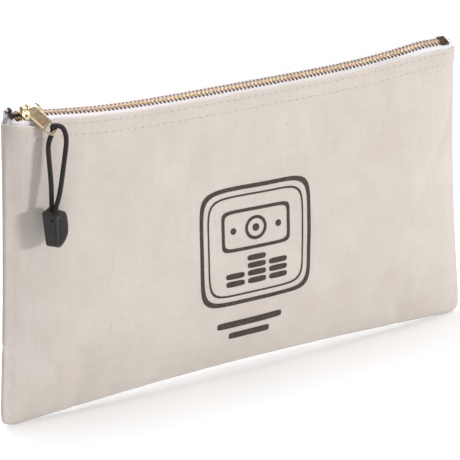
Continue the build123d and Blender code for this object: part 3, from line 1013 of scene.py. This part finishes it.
def grip_outline():
    """The grip's outline seen square on, in millimetres."""
    return [(-5.0, 8.6), (-4.6, 9.1), (1.6, 10.1), (3.2, 9.7), (4.3, 8.2), (5.3, 4.8), (6.3, 0.4),
            (6.5, -2.4), (6.0, -4.6), (4.4, -6.6), (2.2, -8.0), (-0.6, -9.0), (-2.4, -8.9),
            (-3.6, -8.2), (-4.1, -6.8)]


def inside(outline, x, y):
    hit = False
    for (ax, ay), (bx, by) in zip(outline, outline[1:] + outline[:1]):
        if (ay > y) != (by > y) and x < (bx - ax) * (y - ay) / (by - ay) + ax:
            hit = not hit
    return hit


def build_grip():
    """Moulded pick-shaped grip: two shells, slanted ridges on the faces, a small eyelet."""
    outline = grip_outline()
    whole = prism(scaled(outline), -4.1 * MM, 4.1 * MM)
    for point in whole.data.vertices:
        share = (point.co.y / MM + 9.0) / 19.0
        point.co.z *= 0.74 + 0.26 * share
        if point.co.y > 8 * MM and point.co.z > 0:
            point.co.y -= 1.4 * MM
    eyelet = prism(scaled(circle(16), 0.75 * MM), -0.6 * MM, 0.6 * MM)
    eyelet.data.transform(Matrix.Rotation(math.radians(90), 4, "Y"))
    eyelet.data.transform(Matrix.Translation(Vector((-4.8, 5.6, 1.4)) * MM))
    face_outwards(eyelet)
    combine(whole, eyelet, "DIFFERENCE")
    seam = prism(scaled([(x * 1.2, y * 1.2) for x, y in outline]), 2.72 * MM, 2.92 * MM)
    core = prism(scaled([(x * 0.93, y * 0.96) for x, y in outline]), 2.5 * MM, 3.1 * MM)
    combine(seam, core, "DIFFERENCE")
    combine(whole, seam, "DIFFERENCE")
    soften(whole, 0.42 * MM, 3, 40)
    finished(whole, "grip_shell", grip_place(), "cord", "grip_plastic")
    ridges = build_ridges(outline)
    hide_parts("cord_end_body", "cord_knot")
    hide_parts("cord_end_cover")
    return [whole, ridges]


def build_ridges(outline):
    """Slanted ribs moulded on both broad faces, each tapering out before the outline."""
    slant = math.radians(42)
    along = Vector((math.cos(slant), math.sin(slant), 0))
    off = Vector((-math.sin(slant), math.cos(slant), 0))
    inner = [(0.5 + (x - 0.5) * 0.84, y * 0.86) for x, y in outline]
    points, faces = [], []
    for face in (1, -1):
        for step in range(9):
            middle = Vector((0.8, -9.0 + 2.05 * step, 0))
            spots = [middle + along * (t * 0.1) for t in range(-140, 141)]
            spots = [p for p in spots if inside(inner, p.x, p.y) and p.x > -2.6]
            if len(spots) < 12:
                continue
            add_ridge(points, faces, spots[0], spots[-1], off, face)
    points = [Vector(p) * MM for p in points]
    piece = new_piece("grip_ridges", points, faces, "cord", "grip_plastic")
    piece.data.transform(grip_place())
    face_outwards(piece)
    return piece


def add_ridge(points, faces, start, end, off, face):
    """One rib: a low arch in section, falling away at both its ends."""
    stations, around = 9, 7
    first = len(points)
    for i in range(stations):
        share = i / (stations - 1)
        swell = math.sin(math.pi * min(1, max(0.0, 0.06 + 0.88 * share))) ** 0.35
        centre = start.lerp(end, share)
        level = 4.1 * (0.74 + 0.26 * (centre.y + 9.0) / 19.0)
        for k in range(around):
            turn = math.pi * k / (around - 1)
            spot = centre + off * (0.62 * swell * math.cos(turn))
            height = level - 0.25 + 0.95 * swell * math.sin(turn)
            points.append((spot.x, spot.y, face * height))
    for i in range(stations - 1):
        for k in range(around - 1):
            a = first + i * around + k
            faces.append((a, a + 1, a + around + 1, a + around))
        faces.append((first + i * around, first + (i + 1) * around,
                      first + (i + 2) * around - 1, first + (i + 1) * around - 1))
    faces.append(tuple(first + k for k in range(around)))
    faces.append(tuple(first + (stations - 1) * around + k for k in reversed(range(around))))


# ---- Stitches and print ----
def surface_tree(piece):
    """What finds points on a piece, as it is shown."""
    return BVHTree.FromObject(piece, bpy.context.evaluated_depsgraph_get())


def on_surface(tree, x, z, side):
    """Where a line straight through the bag first meets the panel, and the surface's normal."""
    hit, normal, _, _ = tree.ray_cast(Vector((x, side * 0.05, z)), Vector((0, -side, 0)))
    if hit is None:
        return None, None
    if normal.y * side < 0:
        normal = -normal
    return hit, normal


def capsule():
    """One visible stitch: a fat thread that dives into the cloth at both ends."""
    rings = []
    for i in range(9):
        share = i / 8
        x = (share - 0.5) * STITCH_LENGTH
        lift = (0.10 * math.sin(math.pi * share) ** 0.5 - 0.12) * MM
        radius = (0.10 + 0.17 * math.sin(math.pi * share) ** 0.4) * MM
        rings.append([(x, radius * 1.1 * c, lift + radius * 0.8 * s) for c, s in circle(8)])
    piece = mesh_object("stitch", *ringed(rings))
    face_outwards(piece)
    return piece


def needle_hole():
    """A shallow dimple, a disc lying just on the cloth."""
    outline = [(0.50 * c, 0.38 * s) for c, s in circle(10)]
    return prism(scaled(outline), -0.05 * MM, 0.05 * MM)


def edge_height(x, side):
    """The height of the hem's edge at x."""
    return BAG_HEIGHT - mouth_drop(x) + (BACK_LIFT if side == BACK else 0.0)


def build_stitches(name, side, tree):
    """Both stitch rows under a panel's hem, with the needle holes between."""
    holes = []
    for row, below in STITCH_ROWS:
        matrices = []
        for i in range(int(2 * STITCH_REACH / STITCH_PITCH)):
            x = -STITCH_REACH + STITCH_PITCH * (i + 0.5)
            for kind, shift in (("stitch", 0.0), ("hole", STITCH_PITCH / 2)):
                at = x + shift
                z = edge_height(at, side) - below - 0.55 * min(1.6 * MM, slider_dip(at, side))
                hit, normal = on_surface(tree, at, z, side)
                if hit is None:
                    continue
                if kind == "stitch":
                    matrices.append(laid(hit, normal))
                else:
                    holes.append(laid(hit + normal * 0.02 * MM, normal))
        piece = copies(capsule(), matrices, f"{name}_{row}_thread", "stitch_thread")
        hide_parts(f"{name}_{row}_stitches")
    piece = copies(needle_hole(), holes, f"{name}_needle_holes", "stitch_thread", NEEDLE_HOLE)
    face_outwards(piece)


def laid(point, normal):
    """A place on the cloth with its X level along the bag and its Z out of the cloth."""
    along = Vector((1, 0, 0))
    along = (along - normal * along.dot(normal)).normalized()
    across = normal.cross(along)
    return axes(along, across, normal, point)


BADGE_CENTRE = Vector((1.6 * MM, 0, 79.0 * MM))


def rounded_square(half_x, half_z, power, count=160):
    """A closed curve between an ellipse and a rectangle."""
    points = []
    for i in range(count):
        turn = 2 * math.pi * i / count
        cosine, sine = math.cos(turn), math.sin(turn)
        reach = (abs(cosine) ** power + abs(sine) ** power) ** (-1 / power)
        points.append((half_x * reach * cosine, half_z * reach * sine))
    return points


def band(shapes, outer, inner, centre=(0.0, 0.0), steps=3):
    """Add a closed band of ink between two outlines with the same number of points."""
    cx, cz = centre
    rows = []
    for step in range(steps + 1):
        rows.append([(cx + ox + (ix - ox) * step / steps, cz + oz + (iz - oz) * step / steps)
                     for (ox, oz), (ix, iz) in zip(outer, inner)])
    shapes.append(rows)


def ink_shapes():
    """A plain generic mark, in millimetres: a framed banknote over stacked coins, and two bars."""
    shapes = []
    band(shapes, rounded_square(38.0, 35.5, 7), rounded_square(35.4, 32.9, 7))
    band(shapes, rounded_square(32.6, 30.1, 7), rounded_square(31.4, 28.9, 7))
    note = (0.0, 9.0)
    band(shapes, rounded_square(23.0, 12.5, 9), rounded_square(20.8, 10.4, 9), note)
    band(shapes, rounded_square(7.2, 7.2, 2), rounded_square(5.2, 5.2, 2), note)
    band(shapes, rounded_square(2.3, 2.3, 2), rounded_square(0.05, 0.05, 2), note)
    for x in (-15.0, 15.0):
        band(shapes, rounded_square(2.0, 2.0, 2), rounded_square(0.05, 0.05, 2), (note[0] + x, note[1]))
    for x, levels in ((-14.5, 2), (0.0, 4), (14.5, 3)):
        for level in range(levels):
            centre = (x, -22.5 + 4.6 * level)
            band(shapes, rounded_square(6.2, 1.75, 4), rounded_square(0.1, 0.03, 4), centre, 8)
    for x, z, half in ((-4.0, -47.6, 22.5), (-4.0, -55.0, 14.0)):
        band(shapes, rounded_square(half, 2.1, 8), rounded_square(0.1, 0.02, 8), (x, z), 14)
    return shapes


def build_print(tree):
    points, faces = [], []
    for shape in ink_shapes():
        start, columns = len(points), len(shape[0])
        for row in shape:
            for x, z in row:
                hit, normal = on_surface(tree, BADGE_CENTRE.x + x * MM, BADGE_CENTRE.z + z * MM, FRONT)
                points.append(hit + normal * 0.07 * MM)
        for r in range(len(shape) - 1):
            for c in range(columns):
                d = (c + 1) % columns
                faces.append((start + r * columns + c, start + r * columns + d,
                              start + (r + 1) * columns + d, start + (r + 1) * columns + c))
    new_piece("printed_mark", points, faces, "bag", "canvas", INK)


# ---- Studio ----
CAMERA = dict(azimuth=32.9, elevation=18.25, roll=-0.95, distance=1.3, lens=176.4,
              right=-0.0076, up=-0.0068)


def build_camera():
    """A camera aimed at the middle of the object, then moved aside."""
    a, e, r = (math.radians(CAMERA[k]) for k in ("azimuth", "elevation", "roll"))
    forward = Vector((math.sin(a) * math.cos(e), math.cos(a) * math.cos(e), -math.sin(e)))
    right = Vector((math.cos(a), -math.sin(a), 0))
    up = right.cross(forward)
    right, up = right * math.cos(r) + up * math.sin(r), up * math.cos(r) - right * math.sin(r)
    centre = Vector((0, 0, (CAD_LOW.z + CAD_HIGH.z) / 2))
    place = centre - forward * CAMERA["distance"] + right * CAMERA["right"] + up * CAMERA["up"]
    data = bpy.data.cameras.new("camera")
    data.sensor_width = 36
    data.lens = CAMERA["lens"]
    data.clip_start = 0.01
    camera = bpy.data.objects.new("camera", data)
    camera.matrix_world = Matrix.Translation(place) @ Matrix((right, up, -forward)).transposed().to_4x4()
    bpy.context.scene.collection.objects.link(camera)
    bpy.context.scene.camera = camera


def area_light(name, place, target, size, power, colour=(1, 1, 1)):
    data = bpy.data.lights.new(name, "AREA")
    data.shape = "RECTANGLE"
    data.size, data.size_y = size
    data.energy = power
    data.color = colour
    lamp = bpy.data.objects.new(name, data)
    direction = Vector(target) - Vector(place)
    turn = direction.to_track_quat("-Z", "Y").to_matrix().to_4x4()
    lamp.matrix_world = Matrix.Translation(place) @ turn
    bpy.context.scene.collection.objects.link(lamp)


def sky_gradient(tree):
    """A white ceiling over darker walls, so that the metal has something to reflect."""
    place = tree.nodes.new("ShaderNodeTexCoord")
    parts = tree.nodes.new("ShaderNodeSeparateXYZ")
    ramp = tree.nodes.new("ShaderNodeValToRGB")
    ramp.color_ramp.elements[0].position = 0.10
    ramp.color_ramp.elements[0].color = (0.34, 0.34, 0.35, 1)
    ramp.color_ramp.elements[1].position = 0.62
    ramp.color_ramp.elements[1].color = (1.0, 1.0, 1.0, 1)
    tree.links.new(place.outputs["Generated"], parts.inputs["Vector"])
    tree.links.new(parts.outputs["Z"], ramp.inputs["Fac"])
    tree.links.new(ramp.outputs["Color"], tree.nodes["Background"].inputs["Color"])
    tree.nodes["Background"].inputs["Strength"].default_value = 0.42


def build_studio():
    shader = Shader("pale_floor", rough=0.75)
    shader.mottled(3, 2, (0.3, (0.86, 0.86, 0.865)), (0.7, (0.89, 0.89, 0.895)))
    corners = [(-4, -4, 0), (4, -4, 0), (4, 4, 0), (-4, 4, 0)]
    floor = mesh_object("studio_floor", corners, [(0, 1, 2, 3)])
    floor.data.materials.append(shader.material)
    world = bpy.data.worlds.new("studio_world")
    world.use_nodes = True
    sky_gradient(world.node_tree)
    bpy.context.scene.world = world
    bpy.context.scene.view_settings.view_transform = "Standard"
    area_light("key", (1.77, -3.18, 0.80), (0, 0, 0.09), (0.42, 0.42), 77, (1.0, 0.985, 0.965))
    area_light("top", (0, 0.1, 2.2), (0, 0.1, 0), (2.4, 2.4), 52)
    area_light("rim", (0.1, 1.1, 0.9), (0, 0, 0.1), (1.0, 0.6), 8)


def main():
    build_camera()
    build_studio()
    points, faces, held, find = build_pouch()
    points = settle(points, faces, held)
    panels = {}
    for name, side in SIDES:
        piece = panel_piece(name + "_panel_canvas", side, points, find)
        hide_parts(name + "_panel")
        panels[side] = piece
    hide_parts("left_seam_stitches", "right_seam_stitches", "bottom_seam_stitches")
    for name, side in SIDES:
        piece = build_tape(name + "_tape_strip", side)
        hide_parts(name + "_tape")
    build_end_fold("left_tape_fold", -1)
    build_end_fold("right_tape_fold", 1)
    for name, side in SIDES:
        tree = surface_tree(panels[side])
        build_stitches(name, side, tree)
        if side == FRONT:
            build_print(tree)
    build_beads()
    build_teeth()
    build_stops()
    build_slider()
    build_bridge()
    build_tab()
    build_cord(build_grip())


main()
